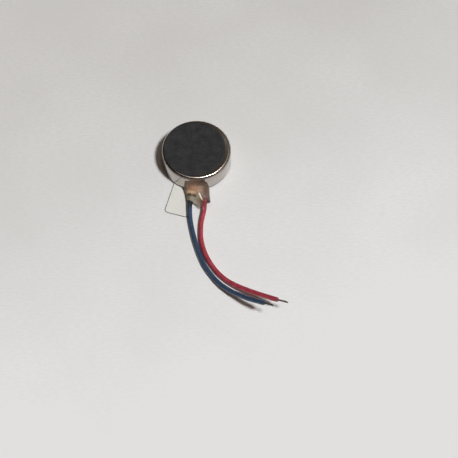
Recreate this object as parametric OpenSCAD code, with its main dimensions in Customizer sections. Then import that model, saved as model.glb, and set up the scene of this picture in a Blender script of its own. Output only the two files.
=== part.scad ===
// Coin vibration motor: a flat brushed motor whose off-centre rotor shakes the case.
// Millimetres, +Z up. The origin is on the shaft axis, in the plane that the motor rests on.
// The terminal and the two leads point towards -Y.

/* [Case] */
// Outside diameter of the steel cup
case_d = 10; // [9.8:0.1:10.6]
// Height of the steel cup
case_h = 3.1; // [3.05:0.05:3.4]
// Thickness of the cup's sheet
case_wall = 0.2; // [0.15:0.05:0.2]
// Radius of the cup's rounded top edge
case_edge_r = 0.4; // [0.3:0.05:0.5]

/* [Base plate] */
// Thickness of the base plate
plate_t = 0.2; // [0.15:0.01:0.2]
// Width of the terminal tongue
tongue_w = 3.1; // [3:0.1:3.4]
// How far the tongue stands out of the case
tongue_reach = 1.1; // [1:0.1:1.3]
// Height of the boss that holds the shaft
boss_h = 0.45; // [0.35:0.05:0.5]

/* [Adhesive and liner] */
// Thickness of the double-sided adhesive disc
adhesive_t = 0.15; // [0.1:0.01:0.2]
// Diameter of the adhesive disc
adhesive_d = 9; // [8:0.1:9.4]
// Thickness of the release liner
liner_t = 0.075; // [0.05:0.005:0.1]
// Diameter of the liner under the motor
liner_d = 9.4; // [9.1:0.1:9.8]
// Width of the liner's pull tab
tab_w = 3.6; // [2.5:0.1:4]
// Distance from the shaft axis to the end of the pull tab
tab_reach = 9.5; // [8:0.1:11]
// Corner radius of the pull tab
tab_corner_r = 0.5; // [0.2:0.05:0.8]
// Radius of the fillets between the disc and the pull tab
tab_fillet_r = 1.5; // [0.5:0.1:2]
// Angle of the pull tab, from -Y towards -X
tab_angle = 16; // [8:1:20]
// Sideways offset of the pull tab's middle line
tab_shift = -0.3; // [-0.6:0.05:0.3]

/* [Foam pad] */
// Thickness of the foam pad on the case
foam_t = 0.2; // [0.15:0.05:0.6]
// Diameter of the foam pad
foam_d = 9; // [8:0.1:9.2]
// Sideways offset of the pad, as it was stuck on by hand
foam_shift = -0.28; // [-0.3:0.01:0.3]

/* [Shaft and bearing] */
// Diameter of the shaft
shaft_d = 0.6; // [0.5:0.05:0.65]
// Running clearance between shaft and bearing, on the radius
bearing_gap = 0.02; // [0.01:0.005:0.03]
// Outside diameter of the bearing sleeve
bearing_d = 1.5; // [1.3:0.05:1.6]

/* [Magnet] */
// Outside diameter of the ring magnet
magnet_d = 7.6; // [6.5:0.1:8.6]
// Diameter of the hole in the ring magnet
magnet_hole_d = 3.8; // [3.7:0.1:4.2]
// Thickness of the ring magnet
magnet_t = 0.8; // [0.6:0.05:0.82]

/* [Rotor] */
// Diameter of the rotor
rotor_d = 9; // [8.8:0.05:9.1]
// Half of the angle that the rotor's sector spans
rotor_half_angle = 106; // [103:1:112]
// Height of the coils on the rotor
coil_h = 1.05; // [0.8:0.05:1.1]
// Outside diameter of each coil
coil_d = 2.8; // [2.4:0.05:2.8]
// Diameter of the core in each coil
coil_core_d = 1.1; // [0.8:0.05:1.3]
// Distance from the shaft axis to each coil's middle
coil_ring_r = 2.98; // [2.95:0.01:3]
// Angle from the counterweight's middle to each coil
coil_angle = 70; // [69:1:72]
// Half of the angle that the counterweight spans
weight_half_angle = 37; // [25:1:37]

/* [Leads] */
// Outside diameter of each lead's insulation
lead_d = 0.7; // [0.6:0.02:0.72]
// Diameter of each lead's stranded conductor
core_d = 0.26; // [0.2:0.02:0.34]

/* [Hidden] */

$fn = 96;
eps = 0.01;
far = 20;

case_r = case_d / 2;
fit_gap = 0.02;
press_gap = 0.005;
shaft_recess = 0.03;

// Heights of the layers, from the plane that the motor rests on
case_z = liner_t + adhesive_t;
case_top = case_z + case_h;
plate_top = case_z + plate_t;
plate_r = case_r - case_wall - fit_gap;
tongue_end = case_r + tongue_reach;
flex_t = 0.1;
flex_top = plate_top + flex_t;
flex_r = 4.5;
flex_inset = 0.1;
land_t = 0.03;
land_top = flex_top + land_t;
boss_r = 0.65;
boss_top = plate_top + boss_h;
washer_t = 0.08;
washer_gap = 0.02;
washer_r = 0.7;
bearing_z = boss_top + washer_t + 2 * washer_gap;
ceiling = case_top - case_wall;
bearing_top = ceiling - washer_t - 2 * washer_gap;

// The rotor hangs over the magnet with a small air gap
air_gap = 0.16;
segment_t = 0.03;
segment_z = flex_top + magnet_t + air_gap;
segment_count = 6;
segment_half_angle = 27;
segment_margin = 0.1;
board_z = segment_z + segment_t;
board_t = 0.2;
board_top = board_z + board_t;
board_hub_r = 1.85;
joint_r = 0.1;
joint_ring_r = 2.15;
joint_angle = 9;
rotor_r = rotor_d / 2;

// The resin has a thin floor under the coils, and stands a little higher than they do
resin_floor = 0.06;
resin_h = resin_floor + coil_h + 0.04;
resin_bore_r = bearing_d / 2 + press_gap;
resin_hub_r = 1.35;
weight_h = coil_h;
weight_inner_r = 2.1;
weight_outer_r = rotor_r - 0.08;

// The skirt's slot for the tongue, and the lugs that lock the plate in the skirt
slot_w = tongue_w + 0.14;
slot_h = 0.46;
lug_angles = [100, 180, 260];
lug_w = 0.9;

// The brushes stand on the flex circuit, inside the magnet's hole
brush_t = 0.05;
brush_w = 0.34;
brush_pad_w = 0.5;
finger_slot_w = 0.1;
brush_y = 1.18;
brush_foot_x = -1.05;
brush_foot_l = 0.55;
brush_tip_x = 0.62;
brush_tip_l = 0.2;
brush_gap = 0.03;
brush_rise = segment_z - brush_gap - land_top;
foot_solder_r = 0.17;

// The terminal: pads, solder and the tape that covers them
pad_w = 1.1;
pad_l = 0.85;
pad_y = -5.52;
pad_x = [-0.82, 0.88];
solder_r = 0.42;
tape_t = 0.06;
tape_w = tongue_w + 0.32;
tape_shift = 0.08;
tape_end = 7.9;
tape_on_wall_top = 2.6;
tape_on_wall_bottom = 1.6;
tape_roof = 1.3;
tape_floor = 0.12;
tape_shoulder = 0.36;
tape_gap = 0.02;

// The route of each lead's conductor, from the solder joint to the bare tip.
// The insulation runs from point strip_start to the last point but one, where the tinned tip starts.
strip_start = 2;
blue_route = [
    [-0.82, -5.4, 0.72], [-0.83, -5.8, 0.74], [-0.84, -6.15, 0.76], [-0.86, -6.8, 0.74],
    [-0.9, -7.4, 0.66], [-0.92, -8.5, 0.52], [-0.86, -9.75, 0.42], [-0.57, -11.55, 0.37],
    [-0.13, -13.45, 0.36], [0.46, -15.42, 0.36], [1.17, -17.25, 0.36], [2.03, -18.7, 0.4],
    [3, -20, 0.56], [3.93, -21, 0.84], [5.1, -22, 1.27], [6.3, -22.87, 1.85],
    [7.48, -23.75, 2.55], [8.66, -24.47, 3.25], [9.58, -25, 3.76], [10.85, -25.6, 4.2]
];
red_route = [
    [0.88, -5.4, 0.72], [0.92, -5.8, 0.74], [0.98, -6.15, 0.76], [1.12, -6.8, 0.76],
    [1.2, -7.6, 0.7], [1.09, -8.85, 0.54], [0.8, -10.2, 0.42], [0.68, -11.75, 0.37],
    [0.79, -13.45, 0.36], [1.21, -15.15, 0.36], [1.84, -16.6, 0.36], [2.71, -18.03, 0.36],
    [3.86, -19.36, 0.42], [5.18, -20.43, 0.64], [6.82, -21.47, 1.08], [8.52, -22.47, 1.7],
    [10.12, -23.37, 2.36], [11.46, -24.08, 2.9], [12.85, -24.65, 3.3]
];
lead_sides = 8;
core_clearance = 0.04;
tip_d = core_d + 0.02;
tip_inside = 0.1;

function unit(v) = v / norm(v);

// The direction of a route at its point i
function heading(route, i) =
    unit(route[min(i + 1, len(route) - 1)] - route[max(i - 1, 0)]);

// One ring of a tube: points round a centre, square to the direction
function ring(centre, direction, r) =
    let (across = unit(cross(direction, [0, 0, 1])), up = cross(across, direction))
    [for (k = [0 : lead_sides - 1])
        centre + r * (cos(360 * k / lead_sides) * across + sin(360 * k / lead_sides) * up)];

// The rings of a tube of radius r from point first to point last of a route, as one list
function rings(route, first, last, r) =
    [for (i = [first : last]) each ring(route[i], heading(route, i), r)];

// A four-sided face as two triangles
function split(a, b, c, d) = [[a, b, c], [a, c, d]];

// The side faces between count rings, from point number first on
function side_faces(count, first) =
    [for (i = [0 : count - 2]) for (k = [0 : lead_sides - 1])
        let (a = first + i * lead_sides + k, b = first + i * lead_sides + (k + 1) % lead_sides)
        each split(a, b, b + lead_sides, a + lead_sides)];

// The faces that close a hollow end, between an outer ring and an inner ring
function end_faces(outer, inner) =
    [for (k = [0 : lead_sides - 1])
        let (n = (k + 1) % lead_sides)
        each split(outer + k, inner + k, inner + n, outer + n)];

// The same faces, seen from the other side
function turned(faces) = [for (f = faces) [f[2], f[1], f[0]]];

// A solid rod from the start of a route to point last
module rod(route, last, r) {
    start_cap = [for (k = [lead_sides - 1 : -1 : 0]) k];
    end_cap = [for (k = [0 : lead_sides - 1]) last * lead_sides + k];
    polyhedron(rings(route, 0, last, r), concat(side_faces(last + 1, 0), [start_cap, end_cap]));
}

// A hollow tube from point first to point last of a route
module hollow_tube(route, first, last, r_out, r_in) {
    count = last - first + 1;
    inner = count * lead_sides;
    end = inner - lead_sides;
    polyhedron(
        concat(rings(route, first, last, r_out), rings(route, first, last, r_in)),
        concat(
            side_faces(count, 0),
            turned(side_faces(count, inner)),
            end_faces(0, inner),
            turned(end_faces(end, inner + end))));
}

// A plain disc with a hole
module washer(r_out, r_in, z, t) {
    translate([0, 0, z]) difference() {
        cylinder(r = r_out, h = t);
        translate([0, 0, -eps]) cylinder(r = r_in, h = t + 2 * eps);
    }
}

// The upper half of a ball, standing on its flat side
module dome(r) {
    intersection() {
        sphere(r = r);
        cylinder(r = 2 * r, h = 2 * r);
    }
}

// A wedge in plan, spanning half_angle to each side of +Y
module wedge(half_angle) {
    spread = min(half_angle, 179);
    polygon(concat([[0, 0]], [for (k = [-4 : 4]) far * [sin(spread * k / 4), cos(spread * k / 4)]]));
}

// The half profile of a round can with a rounded top edge
module can_profile(r, h, edge) {
    square([r - edge, h]);
    square([r, h - edge]);
    translate([r - edge, h - edge]) circle(r = edge);
}

// Places its child at each lug round the skirt
module at_lugs() {
    for (a = lug_angles) rotate(a) translate([0, -case_r, 0]) children();
}

module case_cup() {
    color("silver") difference() {
        translate([0, 0, case_z]) rotate_extrude() difference() {
            can_profile(case_r, case_h, case_edge_r);
            translate([0, -eps])
                can_profile(case_r - case_wall, case_h - case_wall + eps, case_edge_r - case_wall + eps);
        }
        cylinder(d = shaft_d + 2 * press_gap, h = far);
        translate([-slot_w / 2, -far, 0]) cube([slot_w, far, case_z + slot_h]);
        at_lugs() translate([-lug_w / 2 - press_gap, -1, 0])
            cube([lug_w + 2 * press_gap, 2, plate_top + press_gap]);
    }
}

module base_plate() {
    color("gainsboro") difference() {
        union() {
            translate([0, 0, case_z]) cylinder(r = plate_r, h = plate_t);
            translate([-tongue_w / 2, -tongue_end, case_z])
                cube([tongue_w, tongue_end - boss_r, plate_t]);
            intersection() {
                at_lugs() translate([-lug_w / 2, 0, case_z]) cube([lug_w, 1, plate_t]);
                cylinder(r = case_r - eps, h = far);
            }
            translate([0, 0, case_z]) cylinder(r = boss_r, h = plate_t + boss_h);
        }
        cylinder(d = shaft_d + 2 * press_gap, h = far);
    }
}

module shaft() {
    color("lightsteelblue") translate([0, 0, case_z]) cylinder(d = shaft_d, h = case_h - shaft_recess);
}

module ring_magnet() {
    color("dimgray") washer(magnet_d / 2, magnet_hole_d / 2, flex_top, magnet_t);
}

module flex_circuit() {
    color("darkorange") translate([0, 0, plate_top]) linear_extrude(flex_t) difference() {
        union() {
            circle(r = flex_r);
            translate([flex_inset - tongue_w / 2, flex_inset - tongue_end])
                square([tongue_w - 2 * flex_inset, tongue_end - boss_r - 1]);
        }
        circle(r = boss_r + fit_gap);
    }
}

module brush_pads() {
    color("gold") for (a = [0, 180]) rotate(a)
        translate([brush_foot_x, brush_y - brush_pad_w / 2, flex_top])
            cube([brush_foot_l, brush_pad_w, land_t]);
}

module terminal_pads() {
    color("gold") for (x = pad_x)
        translate([x - pad_w / 2, pad_y - pad_l / 2, flex_top]) cube([pad_w, pad_l, land_t]);
}

// One leaf brush: a soldered foot, a rising arm split into two fingers, and a bent-down tip
module brush() {
    foot_end = brush_foot_x + brush_foot_l;
    bend = [brush_tip_x - brush_tip_l, brush_rise];
    difference() {
        translate([0, brush_y + brush_w / 2, land_top]) rotate([90, 0, 0]) linear_extrude(brush_w)
            polygon([
                [brush_foot_x, 0], [foot_end, 0], bend - [0, brush_t],
                [brush_tip_x, brush_rise - brush_tip_l], [brush_tip_x + brush_t, brush_rise - brush_tip_l],
                bend + [brush_t, 0], [foot_end - brush_t, brush_t], [brush_foot_x, brush_t]
            ]);
        translate([foot_end + brush_t, brush_y - finger_slot_w / 2, 0]) cube([far, finger_slot_w, far]);
    }
}

module brush_left() {
    color("goldenrod") brush();
}

module brush_right() {
    color("goldenrod") rotate(180) brush();
}

module brush_solder() {
    color("lightgray") for (a = [0, 180]) rotate(a)
        translate([brush_foot_x + foot_solder_r, brush_y, land_top + brush_t]) dome(foot_solder_r);
}

module lower_washer() {
    color("white") washer(washer_r, shaft_d / 2 + fit_gap, boss_top + washer_gap, washer_t);
}

module upper_washer() {
    color("white") washer(washer_r, shaft_d / 2 + fit_gap, ceiling - washer_gap - washer_t, washer_t);
}

module foam_pad() {
    color("#333336") translate([foam_shift, 0, case_top]) cylinder(d = foam_d, h = foam_t);
}

module adhesive_disc() {
    color("ivory") translate([0, 0, liner_t]) cylinder(d = adhesive_d, h = adhesive_t);
}

// A fillet between the liner's disc and the tab's edge, which is edge_x from the shaft axis
module tab_fillet(edge_x) {
    x = edge_x + tab_fillet_r;
    y = -sqrt(pow(liner_d / 2 + tab_fillet_r, 2) - x * x);
    difference() {
        polygon([[0, 0], [edge_x, y], [x, y]]);
        translate([x, y]) circle(r = tab_fillet_r);
    }
}

// The liner is a disc with a pull tab: round outer corners, and fillets at the disc
module release_liner() {
    inset = tab_corner_r;
    color("#e8ebe2") linear_extrude(liner_t) {
        circle(d = liner_d);
        rotate(-tab_angle) {
            translate([tab_shift, 0]) {
                translate([-tab_w / 2, inset - tab_reach]) square([tab_w, tab_reach - inset]);
                translate([inset - tab_w / 2, -tab_reach]) square([tab_w - 2 * inset, tab_reach]);
                for (side = [-1, 1])
                    translate([side * (tab_w / 2 - inset), inset - tab_reach]) circle(r = inset);
            }
            tab_fillet(tab_w / 2 + tab_shift);
            mirror([1, 0]) tab_fillet(tab_w / 2 - tab_shift);
        }
    }
}

// The outline of the tape's sleeve from the side, grown outwards by grow, with its open end at reach
module sleeve_block(grow, reach) {
    half = tape_w / 2 - tape_t + grow;
    roof = tape_roof - tape_t + grow;
    floor_z = tape_floor + tape_t - grow;
    inside = 4;
    translate([tape_shift - half, 0, 0]) rotate([90, 0, 90]) linear_extrude(2 * half)
        polygon([
            [-inside, floor_z], [-reach, floor_z], [-reach, roof], [-case_r - 2 * tape_shoulder, roof],
            [-case_r, roof + tape_shoulder], [-inside, roof + tape_shoulder]
        ]);
}

// A film sleeve round the solder joints and lead ends, with a flap stuck up the case wall
module terminal_tape() {
    color("peru", 0.8) difference() {
        union() {
            sleeve_block(tape_t, tape_end);
            intersection() {
                cylinder(r = case_r + tape_gap + tape_t, h = tape_on_wall_top);
                translate([tape_shift - tape_w / 2, -far, tape_on_wall_bottom])
                    cube([tape_w, far - 2, tape_on_wall_top - tape_on_wall_bottom]);
            }
        }
        sleeve_block(0, far);
        cylinder(r = case_r + tape_gap, h = far);
    }
}

module terminal_solder() {
    color("lightgray") for (x = pad_x) translate([x, pad_y, land_top]) dome(solder_r);
}

// The insulation of a lead, hollow so that its conductor runs through it
module insulation(route) {
    hollow_tube(route, strip_start, len(route) - 2, lead_d / 2, core_d / 2 + core_clearance);
}

// The bare conductor of a lead: stranded up to the insulation's end, then a straight tinned tip
module conductor(route) {
    last = len(route) - 1;
    direction = unit(route[last] - route[last - 1]);
    rod(route, last - 1, core_d / 2);
    translate(route[last - 1] - tip_inside * direction)
        rotate([0, acos(direction[2]), atan2(direction[1], direction[0])])
            cylinder(d = tip_d, h = norm(route[last] - route[last - 1]) + tip_inside);
}

module red_lead() {
    color("#b02a34") insulation(red_route);
}

module blue_lead() {
    color("#2c4a63") insulation(blue_route);
}

module red_conductor() {
    color("darkgray") conductor(red_route);
}

module blue_conductor() {
    color("darkgray") conductor(blue_route);
}

module rotor_board() {
    color("darkgreen") translate([0, 0, board_z]) linear_extrude(board_t) difference() {
        union() {
            circle(r = board_hub_r);
            intersection() {
                circle(r = rotor_r);
                wedge(rotor_half_angle);
            }
        }
        circle(r = resin_bore_r);
    }
}

module commutator() {
    color("gold") for (i = [0 : segment_count - 1]) rotate(360 * i / segment_count)
        translate([0, 0, segment_z]) linear_extrude(segment_t) intersection() {
            difference() {
                circle(r = board_hub_r - segment_margin);
                circle(r = resin_bore_r + segment_margin);
            }
            wedge(segment_half_angle);
        }
}

module bearing_sleeve() {
    color("darkkhaki")
        washer(bearing_d / 2, shaft_d / 2 + bearing_gap, bearing_z, bearing_top - bearing_z);
}

module coil(side) {
    rotate(side * coil_angle) translate([0, coil_ring_r, board_top + resin_floor]) difference() {
        cylinder(d = coil_d, h = coil_h);
        translate([0, 0, -eps]) cylinder(d = coil_core_d, h = coil_h + 2 * eps);
    }
}

module left_coil() {
    color("chocolate") coil(1);
}

module right_coil() {
    color("chocolate") coil(-1);
}

// The joints where the coil wires meet the rotor board's lower side
module coil_joints() {
    color("lightgray") for (side = [-1, 1]) for (turn = [-1, 1])
        rotate(side * coil_angle + turn * joint_angle) translate([0, joint_ring_r, board_z])
            mirror([0, 0, 1]) dome(joint_r);
}

// The outline of the counterweight, grown outwards by grow
module weight_outline(grow) {
    intersection() {
        difference() {
            circle(r = weight_outer_r + grow);
            circle(r = weight_inner_r - grow);
        }
        wedge(weight_half_angle + asin(grow / weight_inner_r));
    }
}

module counterweight() {
    color("slategray") translate([0, 0, board_top]) linear_extrude(weight_h) weight_outline(0);
}

// The resin that holds the coils, the weight and the bearing on the board
module rotor_resin() {
    color("#20242a") translate([0, 0, board_top]) difference() {
        linear_extrude(resin_h) difference() {
            union() {
                circle(r = resin_hub_r);
                intersection() {
                    circle(r = rotor_r);
                    wedge(rotor_half_angle - 2);
                }
            }
            circle(r = resin_bore_r);
        }
        for (side = [-1, 1]) rotate(side * coil_angle)
            translate([0, coil_ring_r, resin_floor]) difference() {
                cylinder(d = coil_d + 2 * fit_gap, h = resin_h);
                cylinder(d = coil_core_d - 2 * fit_gap, h = resin_h);
            }
        translate([0, 0, -eps]) linear_extrude(resin_h + 2 * eps) weight_outline(fit_gap);
    }
}

case_cup();
base_plate();
shaft();
ring_magnet();
flex_circuit();
brush_pads();
terminal_pads();
brush_left();
brush_right();
brush_solder();
lower_washer();
upper_washer();
foam_pad();
adhesive_disc();
release_liner();
terminal_tape();
terminal_solder();
red_lead();
blue_lead();
red_conductor();
blue_conductor();
rotor_board();
commutator();
bearing_sleeve();
left_coil();
right_coil();
coil_joints();
counterweight();
rotor_resin();
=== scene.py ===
"""Looks of the coin vibration motor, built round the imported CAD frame.

Shapes are worked out in millimetres in the CAD's own frame, and every mesh is scaled to metres as it is made.
"""

import math
import random

import bmesh
import bpy
from mathutils import Matrix, Vector, noise


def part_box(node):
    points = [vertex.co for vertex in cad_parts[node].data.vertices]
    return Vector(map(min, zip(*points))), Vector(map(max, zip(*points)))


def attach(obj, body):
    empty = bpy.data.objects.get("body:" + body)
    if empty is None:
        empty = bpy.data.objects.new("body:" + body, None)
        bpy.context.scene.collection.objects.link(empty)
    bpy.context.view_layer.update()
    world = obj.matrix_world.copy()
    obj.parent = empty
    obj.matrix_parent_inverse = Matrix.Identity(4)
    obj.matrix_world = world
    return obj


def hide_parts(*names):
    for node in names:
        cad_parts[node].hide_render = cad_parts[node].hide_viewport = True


MM = 0.001

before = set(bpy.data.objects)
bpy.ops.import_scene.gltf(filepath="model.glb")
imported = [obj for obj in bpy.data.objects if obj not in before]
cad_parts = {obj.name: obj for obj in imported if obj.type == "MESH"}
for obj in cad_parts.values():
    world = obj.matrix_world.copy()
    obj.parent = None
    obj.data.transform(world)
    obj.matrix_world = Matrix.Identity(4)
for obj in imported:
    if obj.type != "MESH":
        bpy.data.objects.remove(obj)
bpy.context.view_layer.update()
scene = bpy.context.scene
scene.view_settings.view_transform = "Standard"


# ---------------------------------------- sizes from the frame

def low(node):
    """The lowest corner of a CAD node, in millimetres."""
    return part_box(node)[0] / MM


def high(node):
    """The highest corner of a CAD node, in millimetres."""
    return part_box(node)[1] / MM


def middle(node):
    """The middle of a CAD node's box, in millimetres."""
    return (low(node) + high(node)) / 2


def size(node):
    """The three sizes of a CAD node's box, in millimetres."""
    return high(node) - low(node)


CASE_R = high("case_cup").x
CASE_Z = low("case_cup").z
CASE_TOP = high("case_cup").z
CASE_WALL = 0.2
CASE_EDGE_R = 0.4
CASE_HOLE_R = size("shaft").x / 2 + 0.005
PLATE_TOP = low("flex_circuit").z
SLOT_W = 3.24
SLOT_TOP = CASE_Z + 0.46
LUG_W = 0.91
LUG_ANGLES = (100, 180, 260)

LEAD_R = 0.35
CORE_R = 0.13
STRIP_START = 2
BLUE_ROUTE = [
    (-0.82, -5.4, 0.72), (-0.83, -5.8, 0.74), (-0.84, -6.15, 0.76), (-0.86, -6.8, 0.74),
    (-0.9, -7.4, 0.66), (-0.92, -8.5, 0.52), (-0.86, -9.75, 0.42), (-0.57, -11.55, 0.37),
    (-0.13, -13.45, 0.36), (0.46, -15.42, 0.36), (1.17, -17.25, 0.36), (2.03, -18.7, 0.4),
    (3, -20, 0.56), (3.93, -21, 0.84), (5.1, -22, 1.27), (6.3, -22.87, 1.85),
    (7.48, -23.75, 2.55), (8.66, -24.47, 3.25), (9.58, -25, 3.76), (10.85, -25.6, 4.2),
]
RED_ROUTE = [
    (0.88, -5.4, 0.72), (0.92, -5.8, 0.74), (0.98, -6.15, 0.76), (1.12, -6.8, 0.76),
    (1.2, -7.6, 0.7), (1.09, -8.85, 0.54), (0.8, -10.2, 0.42), (0.68, -11.75, 0.37),
    (0.79, -13.45, 0.36), (1.21, -15.15, 0.36), (1.84, -16.6, 0.36), (2.71, -18.03, 0.36),
    (3.86, -19.36, 0.42), (5.18, -20.43, 0.64), (6.82, -21.47, 1.08), (8.52, -22.47, 1.7),
    (10.12, -23.37, 2.36), (11.46, -24.08, 2.9), (12.85, -24.65, 3.3),
]


# ---------------------------------------- mesh helpers

def new_object(name, data):
    """An object in the scene that holds a mesh, light or camera."""
    made = bpy.data.objects.new(name, data)
    scene.collection.objects.link(made)
    return made


def make_piece(name, verts, faces, body, materials, sharp_angle=35):
    """A mesh object from points in millimetres, shaded smooth but for its sharp edges, riding on body."""
    mesh = bpy.data.meshes.new(name)
    mesh.from_pydata([Vector(v) * MM for v in verts], [], faces)
    piece = new_object(name, mesh)
    finish_mesh(piece, materials, sharp_angle)
    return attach(piece, body)


def finish_mesh(piece, materials, sharp_angle):
    """Points the faces outwards, welds doubles, shades smooth by angle and gives the materials."""
    bm = bmesh.new()
    bm.from_mesh(piece.data)
    bmesh.ops.remove_doubles(bm, verts=bm.verts, dist=1e-7)
    bmesh.ops.recalc_face_normals(bm, faces=bm.faces)
    bm.to_mesh(piece.data)
    bm.free()
    piece.data.shade_smooth()
    piece.data.set_sharp_from_angle(angle=math.radians(sharp_angle))
    piece.data.materials.clear()
    for mat in materials:
        piece.data.materials.append(mat)


def apply_modifiers(piece):
    """Turns a piece's modifiers into plain mesh."""
    graph = bpy.context.evaluated_depsgraph_get()
    mesh = bpy.data.meshes.new_from_object(piece.evaluated_get(graph))
    piece.modifiers.clear()
    piece.data = mesh


def lathe(profile, steps):
    """A closed profile of (radius, height) points turned round the Z axis, as points and faces."""
    count = len(profile)
    verts = []
    for i in range(steps):
        angle = math.tau * i / steps
        verts += [(r * math.cos(angle), r * math.sin(angle), z) for r, z in profile]
    faces = []
    for i in range(steps):
        here, there = i * count, (i + 1) % steps * count
        for k in range(count):
            n = (k + 1) % count
            faces.append((here + k, there + k, there + n, here + n))
    return verts, faces


def arc(cx, cy, r, start, end, steps):
    """Points along an arc, with its angles in degrees."""
    angles = [math.radians(start + (end - start) * i / steps) for i in range(steps + 1)]
    return [(cx + r * math.cos(a), cy + r * math.sin(a)) for a in angles]


def smooth_line(route, steps):
    """A smooth curve through a route's points, with steps parts between two points."""
    points = [Vector(p) for p in route]
    points = [2 * points[0] - points[1], *points, 2 * points[-1] - points[-2]]
    line = []
    for a, b, c, d in zip(points, points[1:], points[2:], points[3:]):
        for k in range(steps):
            t = k / steps
            line.append(0.5 * (2 * b + (c - a) * t + (2 * a - 5 * b + 4 * c - d) * t * t
                               + (3 * b - a - 3 * c + d) * t ** 3))
    line.append(points[-2])
    return line


def line_frames(line):
    """At each point of a line: the point, and two directions square to the line that never twist."""
    frames = []
    side = Vector((1, 0, 0))
    for i, point in enumerate(line):
        ahead = (line[min(i + 1, len(line) - 1)] - line[max(i - 1, 0)]).normalized()
        side = (side - ahead * side.dot(ahead)).normalized()
        frames.append((point, side, ahead.cross(side)))
    return frames


def tube(frames, radius, sides):
    """Rings of points round a line's frames. radius is a function of the ring's number and angle."""
    verts, faces = [], []
    for i, (point, side, up) in enumerate(frames):
        for k in range(sides):
            angle = math.tau * k / sides
            r = radius(i, angle)
            verts.append(point + r * (math.cos(angle) * side + math.sin(angle) * up))
    for i in range(len(frames) - 1):
        for k in range(sides):
            n = (k + 1) % sides
            faces.append((i * sides + k, i * sides + n, (i + 1) * sides + n, (i + 1) * sides + k))
    return verts, faces


def joined(*parts):
    """Several lots of points and faces as one."""
    verts, faces = [], []
    for part_verts, part_faces in parts:
        start = len(verts)
        verts += part_verts
        faces += [tuple(start + i for i in face) for face in part_faces]
    return verts, faces


def moved(part, matrix):
    """Points and faces with the points moved by a matrix."""
    return [matrix @ Vector(v) for v in part[0]], part[1]


def cut_box(piece, centre, sizes, turn=0.0):
    """Cuts a box, in millimetres and turned about Z by degrees, out of a piece."""
    bm = bmesh.new()
    bmesh.ops.create_cube(bm, size=1.0)
    place = Matrix.Rotation(math.radians(turn), 4, "Z") @ Matrix.Translation(Vector(centre) * MM)
    bm.transform(place @ Matrix.Diagonal((*[s * MM for s in sizes], 1)))
    mesh = bpy.data.meshes.new("cutter")
    bm.to_mesh(mesh)
    bm.free()
    cutter = new_object("cutter", mesh)
    cut = piece.modifiers.new("cut", "BOOLEAN")
    cut.operation, cut.solver, cut.object = "DIFFERENCE", "EXACT", cutter
    apply_modifiers(piece)
    bpy.data.objects.remove(cutter)


# ---------------------------------------- material helpers

def add(tree, kind, inputs=None, **settings):
    """A shader node with its settings, and inputs that are values or other nodes' outputs."""
    node = tree.nodes.new("ShaderNode" + kind)
    for name, value in settings.items():
        setattr(node, name, value)
    for name, value in (inputs or {}).items():
        if isinstance(value, bpy.types.NodeSocket):
            tree.links.new(value, node.inputs[name])
        else:
            node.inputs[name].default_value = value
    return node


def new_material(name, **inputs):
    """A material with one Principled shader, its node tree and the shader."""
    mat = bpy.data.materials.new(name)
    mat.use_nodes = True
    shader = mat.node_tree.nodes["Principled BSDF"]
    for key, value in inputs.items():
        shader.inputs[key.replace("_", " ")].default_value = value
    return mat, mat.node_tree, shader


def coords(tree):
    """The object's own coordinates, which are the row frame's, in metres."""
    return add(tree, "TexCoord").outputs["Object"]


def axes(tree):
    """The X, Y and Z of the surface's points, in metres."""
    return add(tree, "SeparateXYZ", {"Vector": coords(tree)}).outputs


def stretched(tree, scale):
    """The object's coordinates, scaled per axis."""
    return add(tree, "Mapping", {"Vector": coords(tree), "Scale": scale}).outputs["Vector"]


def grain(tree, vector, cell, detail=3.0, rough=0.5):
    """Noise from 0 to 1 whose cells are that many metres wide."""
    settings = {"Vector": vector, "Scale": 1 / cell, "Detail": detail, "Roughness": rough}
    return add(tree, "TexNoise", settings).outputs["Fac"]


def ramp(tree, factor, stops):
    """A colour ramp from (place, colour) pairs."""
    node = add(tree, "ValToRGB", {"Fac": factor})
    elements = node.color_ramp.elements
    while len(elements) < len(stops):
        elements.new(0.5)
    for element, (place, colour) in zip(elements, stops):
        element.position = place
        element.color = (*colour, 1) if len(colour) == 3 else (colour[0],) * 3 + (1,)
    return node.outputs["Color"]


def spread(tree, factor, start, end):
    """A factor from 0 to 1 spread over start to end."""
    return add(tree, "MapRange", {"Value": factor, "To Min": start, "To Max": end}).outputs["Result"]


def relief(tree, shader, height, depth, strength=1.0):
    """Bump of that depth in metres."""
    bump = add(tree, "Bump", {"Height": height, "Distance": depth, "Strength": strength})
    tree.links.new(bump.outputs["Normal"], shader.inputs["Normal"])


def link(tree, output, shader, name):
    """Joins an output to one of the shader's inputs."""
    tree.links.new(output, shader.inputs[name])


def maths(tree, operation, first, second=0.0):
    """The result of a Math node on one or two values."""
    return add(tree, "Math", {0: first, 1: second}, operation=operation).outputs[0]


def fade(tree, value, start, end, least=0.0):
    """A share that goes from least, where the value is at start, to 1, where it is at end."""
    inputs = {"Value": value, "From Min": start, "From Max": end, "To Min": least}
    return add(tree, "MapRange", inputs).outputs["Result"]


def dimmed(tree, colour, factor):
    """A colour multiplied by a share or by another colour."""
    return add(tree, "VectorMath", {0: colour, 1: factor}, operation="MULTIPLY").outputs["Vector"]


def reach_along(tree, direction):
    """How far the surface's points lie along a direction, in metres."""
    inputs = {0: coords(tree), 1: direction}
    return add(tree, "VectorMath", inputs, operation="DOT_PRODUCT").outputs["Value"]


LINE_BLUR = 2.4
LINE_START_FADE = 0.3
LINE_END_FADE = 0.4


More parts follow.
